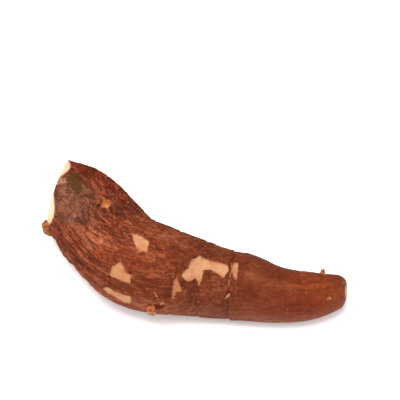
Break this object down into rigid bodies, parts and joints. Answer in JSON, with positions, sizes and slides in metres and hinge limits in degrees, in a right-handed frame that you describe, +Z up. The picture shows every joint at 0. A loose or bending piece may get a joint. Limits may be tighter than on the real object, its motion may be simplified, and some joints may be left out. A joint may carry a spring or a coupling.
{
  "type": "cassava root",
  "caption": "Whole cassava root with bent, tapering body, rough brown bark flaked off in places, and a slanting cut at its stem end, lying on its side as food or as a prop.",
  "frame": {"origin": "on the surface the root lies on, under the middle of its bounding box", "axes": "+Z up; +X along the root's longest extent, from the cut stem end towards the tip; +Y towards the back, away from the bend's outer side"},
  "size_m": [0.2374, 0.1706, 0.069],
  "materials": {
    "bark": "rough, fibrous brown bark, flaked to peach-coloured inner skin in places; cream flesh on the two cuts"
  },
  "bodies": {
    "root": {"cassava_root": "bark"}
  },
  "joints": []
}
